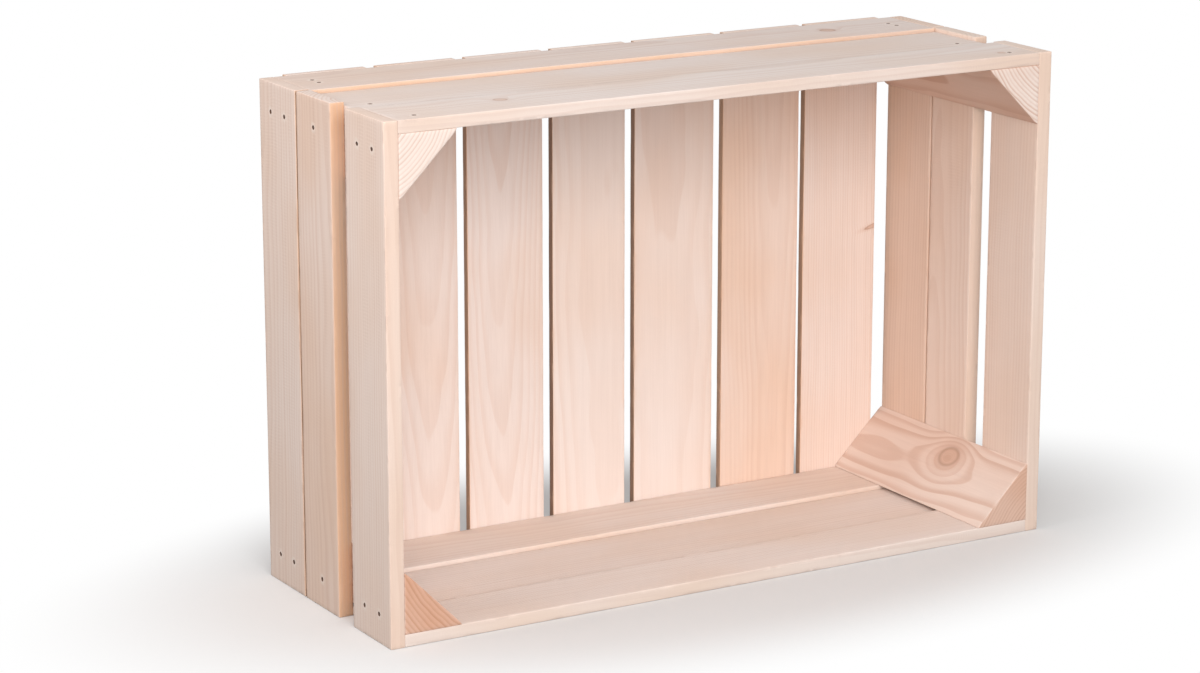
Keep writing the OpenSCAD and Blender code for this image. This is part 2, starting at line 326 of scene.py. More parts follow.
# %% Sink the nail pits
PIT_R = 1.9 * MM
PIT_DEPTH = 3.2 * MM
places = put(board_tree, "GeometryNodeObjectInfo", {"Object": given["Nail places"]}).outputs["Geometry"]
reach = put(board_tree, VECTOR, {
    0: put(board_tree, VECTOR, {0: offset}, operation="ABSOLUTE"),
    1: put(board_tree, VECTOR, {0: given["Size"], "Scale": 0.5}, operation="SCALE"),
}, operation="SUBTRACT")
reach_of = put(board_tree, "ShaderNodeSeparateXYZ", {0: reach})
reach_most = put(board_tree, MATH, {
    0: put(board_tree, MATH, {0: reach_of.outputs[0], 1: reach_of.outputs[1]}, operation="MAXIMUM"),
    1: reach_of.outputs[2],
}, operation="MAXIMUM")
touches = put(board_tree, MATH, {0: reach_most, 1: 0.5 * MM}, operation="LESS_THAN")
here = put(board_tree, "GeometryNodeSeparateGeometry", {
    "Geometry": places, "Selection": touches,
}, domain="POINT").outputs["Selection"]
driven = put(board_tree, "GeometryNodeInputNamedAttribute", {"Name": "drive"}, data_type="FLOAT_VECTOR")
pit = put(board_tree, "GeometryNodeMeshCone", {
    "Vertices": 14, "Side Segments": 3,
    "Radius Top": PIT_R * 0.72, "Radius Bottom": PIT_R, "Depth": PIT_DEPTH,
})
pits = put(board_tree, "GeometryNodeRealizeInstances", {
    0: put(board_tree, "GeometryNodeInstanceOnPoints", {
        "Points": here,
        "Instance": put(board_tree, "GeometryNodeTransform", {
            "Geometry": pit.outputs["Mesh"], "Translation": [0, 0, -0.4 * PIT_DEPTH],
        }),
        "Rotation": put(board_tree, "FunctionNodeAlignRotationToVector", {"Vector": driven}, axis="Z"),
    }),
})
ragged = put(board_tree, "GeometryNodeSetPosition", {
    "Geometry": pits,
    "Offset": put(board_tree, VECTOR, {
        0: put(board_tree, VECTOR, {
            0: put(board_tree, NOISE, {"Scale": 420.0, "Detail": 1.0}).outputs["Color"], 1: [0.5] * 3,
        }, operation="SUBTRACT"),
        "Scale": 1.6 * MM,
    }, operation="SCALE"),
})
pitted = put(board_tree, "GeometryNodeMeshBoolean", {
    "Mesh 1": sawn, "Mesh 2": ragged,
}, operation="DIFFERENCE", solver="EXACT")
print("nail pits are", round(2 * PIT_R / MM, 1), "mm wide")

# %% [markdown]
# Wood grows as rings round a pith, and a board shows slices of them. So each board carries its place in its
# own log: millimetres across, through and along the grain, measured from a pith that may lie far outside the
# board and lean from its run. The wood shader works out the rings from that place alone, and they run on from
# a face over the arris to the edge and the end, as they do in real wood. The other attributes are constant
# over a board, apart from its warmth, which differs between its faces, edges and ends.

# %% Store where each point lies in its log
log_at = put(board_tree, VECTOR, {
    0: put(board_tree, VECTOR, {0: board_at, "Scale": 1 / MM}, operation="SCALE"), 1: given["Pith"],
}, operation="SUBTRACT")
along_mm = put(board_tree, "ShaderNodeSeparateXYZ", {0: log_at}).outputs[2]
leaning = put(board_tree, VECTOR, {
    0: log_at, 1: put(board_tree, VECTOR, {0: given["Lean"], "Scale": along_mm}, operation="SCALE"),
}, operation="ADD")
warmth = put(board_tree, "ShaderNodeSeparateXYZ", {0: given["Warmth"]})
# On an edge the warmth is partly painted light, the warm bounce between boards in a gap; over 1 it paints
# shade
edge_share = put(board_tree, MATH, {0: facing[0], 1: 2.0}, operation="POWER")
end_share = put(board_tree, MATH, {0: facing[2], 1: 4.0}, operation="POWER")
side_warmth = put(board_tree, MIX, {
    "Factor_Float": edge_share, "A_Float": warmth.outputs[0], "B_Float": warmth.outputs[1],
}, data_type="FLOAT")
whole_warmth = put(board_tree, MIX, {
    "Factor_Float": end_share, "A_Float": side_warmth, "B_Float": warmth.outputs[2],
}, data_type="FLOAT")
to_nail = put(board_tree, "GeometryNodeProximity", {"Geometry": here}, target_element="POINTS")
nail_near = put(board_tree, MATH, {
    0: put(board_tree, RANGE, {
        "Value": to_nail.outputs["Distance"],
        "From Min": PIT_R, "From Max": PIT_R + 2.5 * MM, "To Min": 1.0, "To Max": 0.0,
    }),
    1: to_nail.outputs["Is Valid"],
}, operation="MULTIPLY")
stored = pitted.outputs["Mesh"]
for label, value, data_type in [
    ("log_mm", leaning, "FLOAT_VECTOR"), ("figure", given["Figure"], "FLOAT_VECTOR"),
    ("knot_a", given["Knot A"], "FLOAT_VECTOR"), ("knot_b", given["Knot B"], "FLOAT_VECTOR"),
    ("warmth", whole_warmth, "FLOAT"), ("end_grain", end_share, "FLOAT"), ("nail_near", nail_near, "FLOAT"),
]:
    stored = put(board_tree, "GeometryNodeStoreNamedAttribute", {
        "Geometry": stored, "Name": label, "Value": value,
    }, data_type=data_type, domain="POINT").outputs[0]
sharp = put(board_tree, MATH, {
    0: put(board_tree, "GeometryNodeInputMeshEdgeAngle").outputs[0], 1: math.radians(42),
}, operation="GREATER_THAN")
stored = put(board_tree, "GeometryNodeStoreNamedAttribute", {
    "Geometry": stored, "Name": "sharp_edge", "Value": sharp,
}, data_type="BOOLEAN", domain="EDGE")
finished = put(board_tree, "GeometryNodeSetMaterial", {
    "Geometry": put(board_tree, "GeometryNodeRealizeInstances", {
        0: put(board_tree, "GeometryNodeSetShadeSmooth", {"Geometry": stored}),
    }),
    "Material": given["Material"],
})
put(board_tree, "NodeGroupOutput", {0: finished})
print("nodes in the sawn board's tree:", len(board_tree.nodes))

# %% [markdown]
# ## The wood
# The boards are spruce and pine, sawn and never planed, so they are matt, pale and slightly fuzzy. The
# shader works in millimetres of the log. Each growth ring is a broad band of pale early wood that darkens
# into a thin line of late wood and then stops sharply. A knot is a branch: a cone of darker wood that runs
# out from the pith, with its own rings, and the trunk's rings bend round it. Over that lie the fibres, some
# warm and grey patches, and the marks that the saw left across the grain.


# %% Measure the distance from a branch
BRANCH_RISE = 0.25
KNOT_LENGTHENED = 1.25


def knot_distance(tree, log, attribute):
    """Distance from a branch, as a share of its radius, from its height, angle and radius."""
    branch = put(tree, "ShaderNodeSeparateXYZ", {
        0: put(tree, "ShaderNodeAttribute", attribute_name=attribute).outputs["Vector"],
    })
    height, angle, radius = branch.outputs
    direction = put(tree, "ShaderNodeCombineXYZ", {
        0: put(tree, MATH, {0: angle}, operation="COSINE"), 1: put(tree, MATH, {0: angle}, operation="SINE"),
    })
    sideways = put(tree, "ShaderNodeCombineXYZ", {
        0: put(tree, MATH, {0: put(tree, MATH, {0: angle}, operation="SINE"), 1: -1.0}, operation="MULTIPLY"),
        1: put(tree, MATH, {0: angle}, operation="COSINE"),
    })
    outwards = put(tree, VECTOR, {0: log, 1: direction}, operation="DOT_PRODUCT")
    beside = put(tree, VECTOR, {0: log, 1: sideways}, operation="DOT_PRODUCT")
    above = put(tree, MATH, {
        0: put(tree, "ShaderNodeSeparateXYZ", {0: log}).outputs[2], 1: height,
    }, operation="SUBTRACT")
    risen = put(tree, MATH, {
        0: above, 1: put(tree, MATH, {0: outwards, 1: BRANCH_RISE}, operation="MULTIPLY"),
    }, operation="SUBTRACT")
    squeezed = put(tree, MATH, {0: risen, 1: KNOT_LENGTHENED}, operation="DIVIDE")
    away = put(tree, VECTOR, {
        0: put(tree, "ShaderNodeCombineXYZ", {0: beside, 1: squeezed}),
    }, operation="LENGTH")
    behind = put(tree, MATH, {
        0: put(tree, MATH, {0: outwards, 1: 0.0}, operation="LESS_THAN"), 1: 50.0,
    }, operation="MULTIPLY")
    return put(tree, MATH, {
        0: put(tree, MATH, {0: away.outputs["Value"], 1: radius}, operation="DIVIDE"), 1: behind,
    }, operation="ADD")


print("a branch rises", round(math.degrees(math.atan(BRANCH_RISE))), "degrees from square to its trunk")

# %% [markdown]
# One function makes the wood for each kind of piece, from its colours and how strongly its rings and saw
# marks show. It is called four times, because the side boards, end boards, slats and posts come from
# different logs.


# %% Build the wood shader
SWAY_MM = 4.5
HUMP_FALL = 0.22
HUMP_HEIGHT = 1.1


def sawn_wood(name, early, late, warm, ring_show, saw_show):
    """Raw sawn softwood: growth rings, knots, fibres and saw marks, in millimetres of the log."""
    material = bpy.data.materials.new(name)
    material.use_nodes = True
    tree = material.node_tree
    shader = tree.nodes["Principled BSDF"]
    log = put(tree, "ShaderNodeAttribute", attribute_name="log_mm").outputs["Vector"]
    figure = put(tree, "ShaderNodeSeparateXYZ", {
        0: put(tree, "ShaderNodeAttribute", attribute_name="figure").outputs["Vector"],
    })
    ring_mm, seed, paleness = figure.outputs
    warmth = put(tree, "ShaderNodeAttribute", attribute_name="warmth").outputs["Fac"]
    end_grain = put(tree, "ShaderNodeAttribute", attribute_name="end_grain").outputs["Fac"]
    arris_fuzz = put(tree, "ShaderNodeAttribute", attribute_name="arris").outputs["Fac"]
    nail_near = put(tree, "ShaderNodeAttribute", attribute_name="nail_near").outputs["Fac"]

    def log_noise(per_mm, detail, roughness=0.5):
        """Noise from 0 to 1, with its own scale across, through and along the grain."""
        scaled = put(tree, VECTOR, {0: log, 1: per_mm}, operation="MULTIPLY")
        return put(tree, NOISE, {
            "Vector": scaled, "W": seed, "Scale": 1.0, "Detail": detail, "Roughness": roughness,
        }, noise_dimensions="4D")

    def ramp(value, low, high, to_low=0.0, to_high=1.0):
        """A smooth rise or fall of the value between two of its levels."""
        return put(tree, RANGE, {
            "Value": value, "From Min": low, "From Max": high, "To Min": to_low, "To Max": to_high,
        }, interpolation_type="SMOOTHSTEP")

    def times(one, other):
        return put(tree, MATH, {0: one, 1: other}, operation="MULTIPLY")

    def plus(one, other):
        return put(tree, MATH, {0: one, 1: other}, operation="ADD")

    def blend(share, one, other):
        """One colour turning into the other as the share goes from 0 to 1."""
        return put(tree, MIX, {
            "Factor_Float": share, "A_Color": one, "B_Color": other,
        }, data_type="RGBA").outputs["Result"]

    def result(node):
        return next(output for output in node.outputs if output.enabled)

    # The rings wander by a few millimetres along the trunk
    sway = put(tree, VECTOR, {
        0: put(tree, VECTOR, {0: log_noise([0.011, 0.011, 0.005], 2.0).outputs["Color"], 1: [0.5] * 3},
               operation="SUBTRACT"),
        1: [2 * SWAY_MM, 2 * SWAY_MM, 0.0],
    }, operation="MULTIPLY")
    swayed = put(tree, VECTOR, {0: log, 1: sway}, operation="ADD")
    radial = put(tree, VECTOR, {
        0: put(tree, VECTOR, {0: swayed, 1: [1.0, 1.0, 0.0]}, operation="MULTIPLY"),
    }, operation="LENGTH").outputs["Value"]

    # Round a branch the rings bulge outwards
    knots = [knot_distance(tree, swayed, name) for name in ("knot_a", "knot_b")]
    radii = [
        put(tree, "ShaderNodeSeparateXYZ", {
            0: put(tree, "ShaderNodeAttribute", attribute_name=name).outputs["Vector"],
        }).outputs[2]
        for name in ("knot_a", "knot_b")
    ]
    age = radial
    for distance, radius in zip(knots, radii):
        hump = put(tree, MATH, {
            0: times(times(distance, distance), -HUMP_FALL),
        }, operation="EXPONENT")
        age = put(tree, MATH, {0: age, 1: times(hump, times(radius, HUMP_HEIGHT))}, operation="SUBTRACT")

    # A ring darkens slowly and ends sharply
    count = plus(put(tree, MATH, {0: age, 1: ring_mm}, operation="DIVIDE"),
                 times(log_noise([0.05, 0.05, 0.012], 1.0), 0.9))
    part = put(tree, MATH, {0: count}, operation="FRACT")
    year = put(tree, "ShaderNodeTexWhiteNoise", {
        "W": plus(put(tree, MATH, {0: count}, operation="FLOOR"), seed),
    }, noise_dimensions="1D").outputs["Value"]
    late_wood = times(times(ramp(part, 0.3, 0.86), ramp(part, 0.93, 1.0, 1.0, 0.0)),
                      plus(times(year, 0.7), 0.4))

    # Knots have their own rings and a dark rim
    knot_near = put(tree, MATH, {0: knots[0], 1: knots[1]}, operation="MINIMUM")
    in_knot = ramp(knot_near, 0.86, 1.04, 1.0, 0.0)
    knot_rim = times(ramp(knot_near, 0.72, 0.96), ramp(knot_near, 1.0, 1.25, 1.0, 0.0))
    knot_rings = ramp(put(tree, MATH, {0: times(knot_near, 5.0)}, operation="FRACT"), 0.25, 0.9)
    knot_halo = ramp(knot_near, 0.9, 2.4, 1.0, 0.0)

    # Colour, from the broad patches down to the single fibres
    patches = log_noise([0.012, 0.012, 0.006], 2.0)
    # The warmth attribute adds warm colour; on edges it is partly painted bounce light from the gaps
    warm_share = plus(times(ramp(patches, 0.35, 0.7), 0.35), warmth)
    base = blend(warm_share, linear(early), linear(warm))
    ringed = blend(times(late_wood, plus(times(end_grain, 0.1), ring_show)), base, linear(late))
    haloed = blend(times(knot_halo, 0.4), ringed, linear(late))
    knotted = blend(times(in_knot, plus(times(knot_rings, 0.35), 0.3)), haloed, linear(KNOT_WOOD))
    rimmed = blend(times(knot_rim, 0.5), knotted, linear(KNOT_RIM))
    fibres = log_noise([1.3, 1.3, 0.03], 3.0, 0.6)
    streaks = log_noise([0.35, 0.35, 0.008], 2.0)
    grey = plus(times(ramp(fibres, 0.3, 0.7), 0.05), times(ramp(streaks, 0.3, 0.7), 0.05))
    fibred = blend(grey, rimmed, linear(FIBRE_SHADE))
    paled = blend(times(paleness, 0.5), fibred, linear(PALE_BLOOM))
    # Painted shade: edges with a warmth over 1 turn dark brown, for the shade in the gaps and seams; on slat
    # 4 partly bark
    painted_gap_shade = blend(times(ramp(warmth, 1.0, 2.0), 0.8), paled, linear(PAINTED_GAP_SHADE))
    fuzzed = blend(times(arris_fuzz, 0.06), painted_gap_shade, linear(PALE_BLOOM))
    splintered = blend(times(ramp(nail_near, 0.0, 0.6), 0.5), fuzzed, linear(PALE_BLOOM))
    pit_dark = blend(ramp(nail_near, 0.9, 1.0), splintered, linear(PIT_SHADE))
    tree.links.new(pit_dark, shader.inputs["Base Color"])

    # Relief: late wood stands a little proud, fibres are fuzzy, and the saw left marks across the grain
    saw_at = put(tree, "ShaderNodeSeparateXYZ", {0: log})
    saw_phase = plus(times(saw_at.outputs[2], 1 / SAW_MARK_MM),
                     times(log_noise([0.02, 0.02, 0.01], 2.0), 5.0))
    saw_marks = put(tree, MATH, {0: times(saw_phase, 2 * math.pi)}, operation="SINE")
    relief = plus(plus(times(late_wood, 0.25), times(fibres, 0.6)),
                  times(times(saw_marks, saw_show), ramp(streaks, 0.35, 0.65)))
    bump = put(tree, "ShaderNodeBump", {
        "Height": relief, "Strength": 0.55, "Distance": FIBRE_DEPTH,
    })
    tree.links.new(bump.outputs[0], shader.inputs["Normal"])
    tree.links.new(result(ramp(fibres, 0.2, 0.8, 0.7, 0.86)), shader.inputs["Roughness"])
    shader.inputs["IOR"].default_value = 1.45
    shader.inputs["Specular IOR Level"].default_value = 0.35
    return material


KNOT_WOOD = "#D0A286"
KNOT_RIM = "#A5755A"
FIBRE_SHADE = "#A98B7A"
PALE_BLOOM = "#F6E9DE"
PIT_SHADE = "#6B4E3F"
# The dark brown of the painted shade on edges in the gaps and seams, partly bark on slat 4
PAINTED_GAP_SHADE = "#7C5A48"
SAW_MARK_MM = 2.6
FIBRE_DEPTH = 0.25 * MM
side_pine = sawn_wood("sawn_spruce_side_boards", "#F1E8E5", "#DCC2B6", "#E6C2A4", 0.4, 0.25)
end_pine = sawn_wood("sawn_spruce_end_boards", "#F3E3DA", "#DBBAA6", "#E6BC9A", 0.4, 0.2)
slat_pine = sawn_wood("sawn_pine_slats", "#F2E6E0", "#DCB9A4", "#ECC6A9", 0.27, 0.12)
post_pine = sawn_wood("sawn_pine_posts", "#F6E7DE", "#C48E6E", "#DCA98C", 0.5, 0.2)
print("wood materials:", [m.name for m in (side_pine, end_pine, slat_pine, post_pine)])

# %% [markdown]
# ## The nails
# The nails are steel wire with flat heads, from a strip: grey and dull, sunk about a millimetre. Their
# places and directions are read from the CAD nails, so nothing is typed twice. Each CAD node of nails falls
# apart into loose pieces: the middle of such a piece, and its longest side, give a nail's place and its
# line.


# %% Find each nail's head and direction in the CAD nodes
def loose_parts(mesh):
    """The corners of each loose piece of a mesh, found by joining vertices that share a place or an edge."""
    owner = list(range(len(mesh.vertices)))

    def top(i):
        while owner[i] != i:
            owner[i] = owner[owner[i]]
            i = owner[i]
        return i

    seen = {}
    for vertex in mesh.vertices:
        key = tuple(round(c / (0.01 * MM)) for c in vertex.co)
        owner[top(vertex.index)] = top(seen.setdefault(key, vertex.index))
    for edge in mesh.edges:
        owner[top(edge.vertices[0])] = top(edge.vertices[1])
    parts = {}
    for vertex in mesh.vertices:
        parts.setdefault(top(vertex.index), []).append(vertex.co.copy())
    return list(parts.values())


NAIL_SINK = 0.9 * MM
NAIL_NODES = {
    "lower_side_nails": Vector((0, 0, 1)), "upper_side_nails": Vector((0, 0, -1)),
    "left_end_nails": Vector((1, 0, 0)), "right_end_nails": Vector((-1, 0, 0)),
    "base_nails": Vector((0, -1, 0)),
}
nails = {}
for node, drive in NAIL_NODES.items():
    nails[node] = []
    for corners in loose_parts(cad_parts[node].data):
        middle = sum(corners, Vector()) / len(corners)
        head = min(corner.dot(drive) for corner in corners)
        nails[node].append(middle - drive * (middle.dot(drive) - head))
print("nails:", {node: len(heads) for node, heads in nails.items()})


# %% Turn the places into meshes of points
def point_mesh(name, heads, sink):
    """A mesh of points, one for each nail, with the direction that it was driven in."""
    points = [head - drive * sink for head, drive in heads]
    mesh = bpy.data.meshes.new(name)
    mesh.from_pydata(points, [], [])
    attribute = mesh.attributes.new("drive", "FLOAT_VECTOR", "POINT")
    for i, (_, drive) in enumerate(heads):
        attribute.data[i].vector = drive
    made = bpy.data.objects.new(name, mesh)
    bpy.context.scene.collection.objects.link(made)
    return made


every_head = [(head, drive) for node, drive in NAIL_NODES.items() for head in nails[node]]
pit_places = point_mesh("pit_places", every_head, NAIL_SINK)
print("pits to sink:", len(every_head))

# %% [markdown]
# ## Choosing each board's cut
# A saw takes boards from a log at different distances from its pith. Where the pith is far out to the side,
# the face shows fine straight lines; where it is behind the face, it shows broad flames. For each piece this
# table says where the pith lies, how far the board leans from it in a metre, how wide a ring is, how warm
# its faces, edges and ends are, and where its knots are on the face. On an edge, warmth is partly painted
# light: the warm light that bounces between two boards in a gap. A warmth over 1 darkens an edge to dark
# brown, as most slats' edges are: that is painted shade, for the gaps between the slats and a seam of the
# left end, and on slat 4 partly a strip of bark. All these are read off the real crate.

# %% The wood of each piece
X, Y, Z = Vector((1, 0, 0)), Vector((0, 1, 0)), Vector((0, 0, 1))
LYING = {"across": Y, "through": Z, "along": X}
STANDING = {"across": Y, "through": X, "along": Z}
UPRIGHT = {"across": X, "through": Y, "along": Z}
DEEP = {"across": X, "through": Z, "along": Y}
PLAIN = {
    "pith": (60, -70), "lean": (10, 10), "ring": 3.2, "warmth": (0.1, 0.3, 0.1), "pale": 0.0, "knots": [],
}
CUTS = {
    "lower_side_front_board": (LYING, side_pine, "side_board_pine", {"pith": (48, 30), "pale": 0.6}),
    "lower_side_middle_board": (LYING, side_pine, "side_board_pine", {
        "pith": (-70, 60), "lean": (14, 8), "pale": 0.5}),
    "lower_side_back_board": (LYING, side_pine, "side_board_pine", {
        "pith": (36, 80), "lean": (-12, 20), "pale": 0.5}),
    "upper_side_front_board": (LYING, side_pine, "side_board_pine", {
        "pith": (30, -60), "pale": 0.4, "knots": [(-184, 6, 4.0), (262, -14, 2.5)]}),
    "upper_side_middle_board": (LYING, side_pine, "side_board_pine", {"pith": (-40, -55), "pale": 0.3}),
    "upper_side_back_board": (LYING, side_pine, "side_board_pine", {
        "pith": (25, -40), "warmth": (0.2, 0.75, 0.3), "knots": [(204, 2, 5.0)]}),
    "left_end_front_board": (STANDING, end_pine, "end_board_pine", {"pith": (70, 40), "pale": 0.3}),
    # Its front edge's warmth is partly painted light, the warm bounce in the hand gap
    "left_end_middle_board": (STANDING, end_pine, "end_board_pine", {
        "pith": (-30, 50), "warmth": (0.15, 0.8, -0.2)}),
    # Its front edge's warmth over 1 is painted shade, for the seam beside the middle board
    "left_end_back_board": (STANDING, end_pine, "end_board_pine", {
        "pith": (50, 60), "warmth": (0.1, 1.7, 0.1), "pale": 0.2}),
    "right_end_front_board": (STANDING, end_pine, "end_board_pine", {"pith": (-80, 45), "pale": 0.6}),
    "right_end_middle_board": (STANDING, end_pine, "end_board_pine", {
        "pith": (20, -60), "lean": (8, 25), "warmth": (0.1, 0.5, 0.0), "pale": 0.5}),
    "right_end_back_board": (STANDING, end_pine, "end_board_pine", {
        "pith": (60, -50), "warmth": (0.4, 0.6, 0.3), "pale": 0.2}),
    "lower_left_post": (DEEP, post_pine, "post_pine", {
        "pith": (90, 70), "ring": 3.6, "warmth": (0.3, 0.3, 0.75)}),
    "lower_right_post": (DEEP, post_pine, "post_pine", {
        "pith": (60, -60), "ring": 3.0, "warmth": (0.1, 0.2, 0.75), "knots": [(-12, 0, 9.0)], "pale": 0.3}),
    "upper_left_post": (DEEP, post_pine, "post_pine", {
        "pith": (-60, 50), "warmth": (0.2, 0.2, -0.3), "pale": 0.7}),
    "upper_right_post": (DEEP, post_pine, "post_pine", {
        "pith": (70, 70), "warmth": (0.45, 0.45, -0.1), "pale": 0.3}),
    # The slats' edge warmth over 1 is painted shade, for the gaps between them; on slat 4 partly bark
    "base_slat_1": (UPRIGHT, slat_pine, "base_slat_pine", {"pith": (90, 30), "warmth": (0.1, 1.5, 0.2)}),
    "base_slat_2": (UPRIGHT, slat_pine, "base_slat_pine", {
        "pith": (8, 34), "lean": (12, 45), "ring": 4.0, "warmth": (0.1, 1.5, 0.2)}),
    "base_slat_3": (UPRIGHT, slat_pine, "base_slat_pine", {
        "pith": (-6, 26), "lean": (6, 40), "ring": 3.6, "warmth": (0.05, 1.6, 0.2)}),
    "base_slat_4": (UPRIGHT, slat_pine, "base_slat_pine", {
        "pith": (20, 90), "ring": 4.5, "warmth": (0.05, 1.9, 0.2), "pale": 0.4}),
    "base_slat_5": (UPRIGHT, slat_pine, "base_slat_pine", {
        "pith": (-10, 110), "ring": 4.0, "warmth": (0.05, 1.8, 0.2), "pale": 0.3}),
    "base_slat_6": (UPRIGHT, slat_pine, "base_slat_pine", {
        "pith": (14, 22), "lean": (10, 18), "ring": 3.4, "warmth": (0.35, 1.5, 0.2)}),
    "base_slat_7": (UPRIGHT, slat_pine, "base_slat_pine", {
        "pith": (-75, 10), "ring": 2.4, "warmth": (0.15, 1.6, 0.2), "knots": [(20, 34, 1.4)]}),
}
print("pieces of wood:", len(CUTS))

# %% [markdown]
# A knot is easiest to place on the face that shows it: so far along the board, so far across it, and so wide.
# The shader wants the branch instead, as its height on the pith, its direction round it, and its radius.


# %% Work out the branches
NO_KNOT = (0.0, 0.0, 0.001)


def branch_of(knot, cut, face_mm):
    """The branch whose knot lies at this place of the face: height on the pith, angle round it, radius."""
    along, across, radius = knot
    u = across - cut["pith"][0] + cut["lean"][0] * MM * along
    v = face_mm - cut["pith"][1] + cut["lean"][1] * MM * along
    return (along - BRANCH_RISE * math.hypot(u, v), math.atan2(v, u), radius)


print("for example:", [round(c, 2) for c in branch_of((204, 2, 5.0), PLAIN, 5.0)])

# %% [markdown]
# A modifier's inputs are set by the identifiers of its sockets, before the object is evaluated for the first
# time. The evaluated object is then turned into a plain mesh, which no longer depends on the tree.


# %% Grow an object from a tree
def grow(tree, name, values):
    """A plain mesh object, made by the tree from these values for its named inputs."""
    grown = bpy.data.objects.new(name, bpy.data.meshes.new(name + "_empty"))
    bpy.context.scene.collection.objects.link(grown)
    modifier = grown.modifiers.new("grow", "NODES")
    modifier.node_group = tree
    for item in tree.interface.items_tree:
        if item.in_out == "INPUT" and item.name in values:
            modifier[item.identifier] = values[item.name]
    depsgraph = bpy.context.evaluated_depsgraph_get()
    mesh = bpy.data.meshes.new_from_object(
        grown.evaluated_get(depsgraph), preserve_all_data_layers=True, depsgraph=depsgraph)
    mesh.name = name
    grown.modifiers.clear()
    grown.data = mesh
    return grown


# %% Saw every board, slat and post
CELL = 2.8 * MM
POST_TIP = 1.2 / 48
wood_pieces = []
for seed, (node, (lies, material, slot, changes)) in enumerate(CUTS.items()):
    cut = {**PLAIN, **changes}
    low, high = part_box(node)
    size = high - low
    middle = (low + high) / 2
    is_post = lies is DEEP
    corner = Vector((1 if middle.x > 0 else -1, 0, 1 if middle.z > (cad_low.z + cad_high.z) / 2 else -1))
    seen_side = -0.5 if lies is UPRIGHT or middle.z < 0.1 and lies is LYING else 0.5
    branches = [branch_of(knot, cut, seen_side * size.dot(lies["through"]) / MM) for knot in cut["knots"]]
    branches += [NO_KNOT, NO_KNOT]
    piece = grow(board_tree, node.replace("base_slat", "slat") + "_sawn", {
        "Low corner": low, "Size": size, "Cell": CELL, "Arris": (0.5 if is_post else 0.7) * MM,
        "Across": lies["across"], "Through": lies["through"], "Along": lies["along"],
        "Corner": corner if is_post else Vector(), "Tip": POST_TIP,
        "Cup": (0.1 if is_post else 0.16) * MM, "Wander": (0.1 if is_post else 0.5) * MM, "Nick": 0.6 * MM,
        "Seed": 3.7 * seed, "Pith": Vector((*cut["pith"], 0)), "Lean": Vector((*cut["lean"], 0)) * MM,
        "Warmth": Vector(cut["warmth"]), "Figure": Vector((cut["ring"], 3.7 * seed, cut["pale"])),
        "Knot A": Vector(branches[0]), "Knot B": Vector(branches[1]),
        "Nail places": pit_places, "Material": material,
    })
    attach(piece, "root")
    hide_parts(node)
    wood_pieces.append(piece)
print("sawn:", len(wood_pieces), "pieces,", sum(len(p.data.polygons) for p in wood_pieces), "faces")
bpy.data.objects.remove(pit_places)

# %% [markdown]
# ## The nails' steel
# The nails keep their CAD shape, a flat head on a wire. The steel is bright wire that has dulled: a metal
# with the default IOR, grey, with scuffs on the heads where the gun's driver struck them.

# %% Make the nails' steel
nail_steel = bpy.data.materials.new("dull_steel_wire_nails")
nail_steel.use_nodes = True
steel_tree = nail_steel.node_tree
steel = steel_tree.nodes["Principled BSDF"]
steel.inputs["Metallic"].default_value = 1.0
nail_at = put(steel_tree, "ShaderNodeTexCoord").outputs["Object"]
scuffs = put(steel_tree, NOISE, {"Vector": nail_at, "Scale": 900.0, "Detail": 3.0})
steel_tree.links.new(put(steel_tree, MIX, {
    "Factor_Float": scuffs, "A_Color": linear("#4E4A47"), "B_Color": linear("#8B8682"),
}, data_type="RGBA").outputs["Result"], steel.inputs["Base Color"])
steel_tree.links.new(put(steel_tree, RANGE, {
    "Value": scuffs, "To Min": 0.45, "To Max": 0.7,
}).outputs[0], steel.inputs["Roughness"])
for node in NAIL_NODES:
    steel_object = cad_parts[node]
    steel_object.data.materials.clear()
    steel_object.data.materials.append(nail_steel)
print("steel:", nail_steel.name)

# %% [markdown]
# ## Stage
# The photo was taken on a white sweep, with soft light from the front and above, and the left end in mild
# shade. The floor is plain. For the camera it is lit up to white, apart from the crate's own shadow, and for
# the crate it is a dark grey, so that it doesn't light the shaded end from below.

# %% Lay the floor
FLOOR_HALF = 6.0
SHADOW_ENDS = (0.26, 0.46)
PAPER_GLOW = 0.05
floor_mesh = bpy.data.meshes.new("floor")
floor_mesh.from_pydata([(-FLOOR_HALF, -FLOOR_HALF, 0), (FLOOR_HALF, -FLOOR_HALF, 0),
                        (FLOOR_HALF, FLOOR_HALF, 0), (-FLOOR_HALF, FLOOR_HALF, 0)], [], [(0, 1, 2, 3)])
floor = bpy.data.objects.new("floor", floor_mesh)
bpy.context.scene.collection.objects.link(floor)
paper = bpy.data.materials.new("pale_paper_sweep")
paper.use_nodes = True
paper_tree = paper.node_tree
paper_tree.nodes.clear()
rays = put(paper_tree, "ShaderNodeLightPath").outputs
seen = put(paper_tree, MATH, {
    0: rays["Is Camera Ray"],
    1: put(paper_tree, MATH, {0: rays["Is Glossy Ray"], 1: rays["Is Transmission Ray"]}, operation="MAXIMUM"),
}, operation="MAXIMUM")
footprint = put(paper_tree, VECTOR, {
    0: put(paper_tree, "ShaderNodeTexCoord").outputs["Object"], 1: [0.8, 1.5, 1.0],
}, operation="MULTIPLY")
away = put(paper_tree, VECTOR, {0: footprint}, operation="LENGTH")
near_crate = put(paper_tree, RANGE, {
    "Value": away.outputs["Value"], "From Min": SHADOW_ENDS[0], "From Max": SHADOW_ENDS[1],
}, interpolation_type="SMOOTHSTEP")
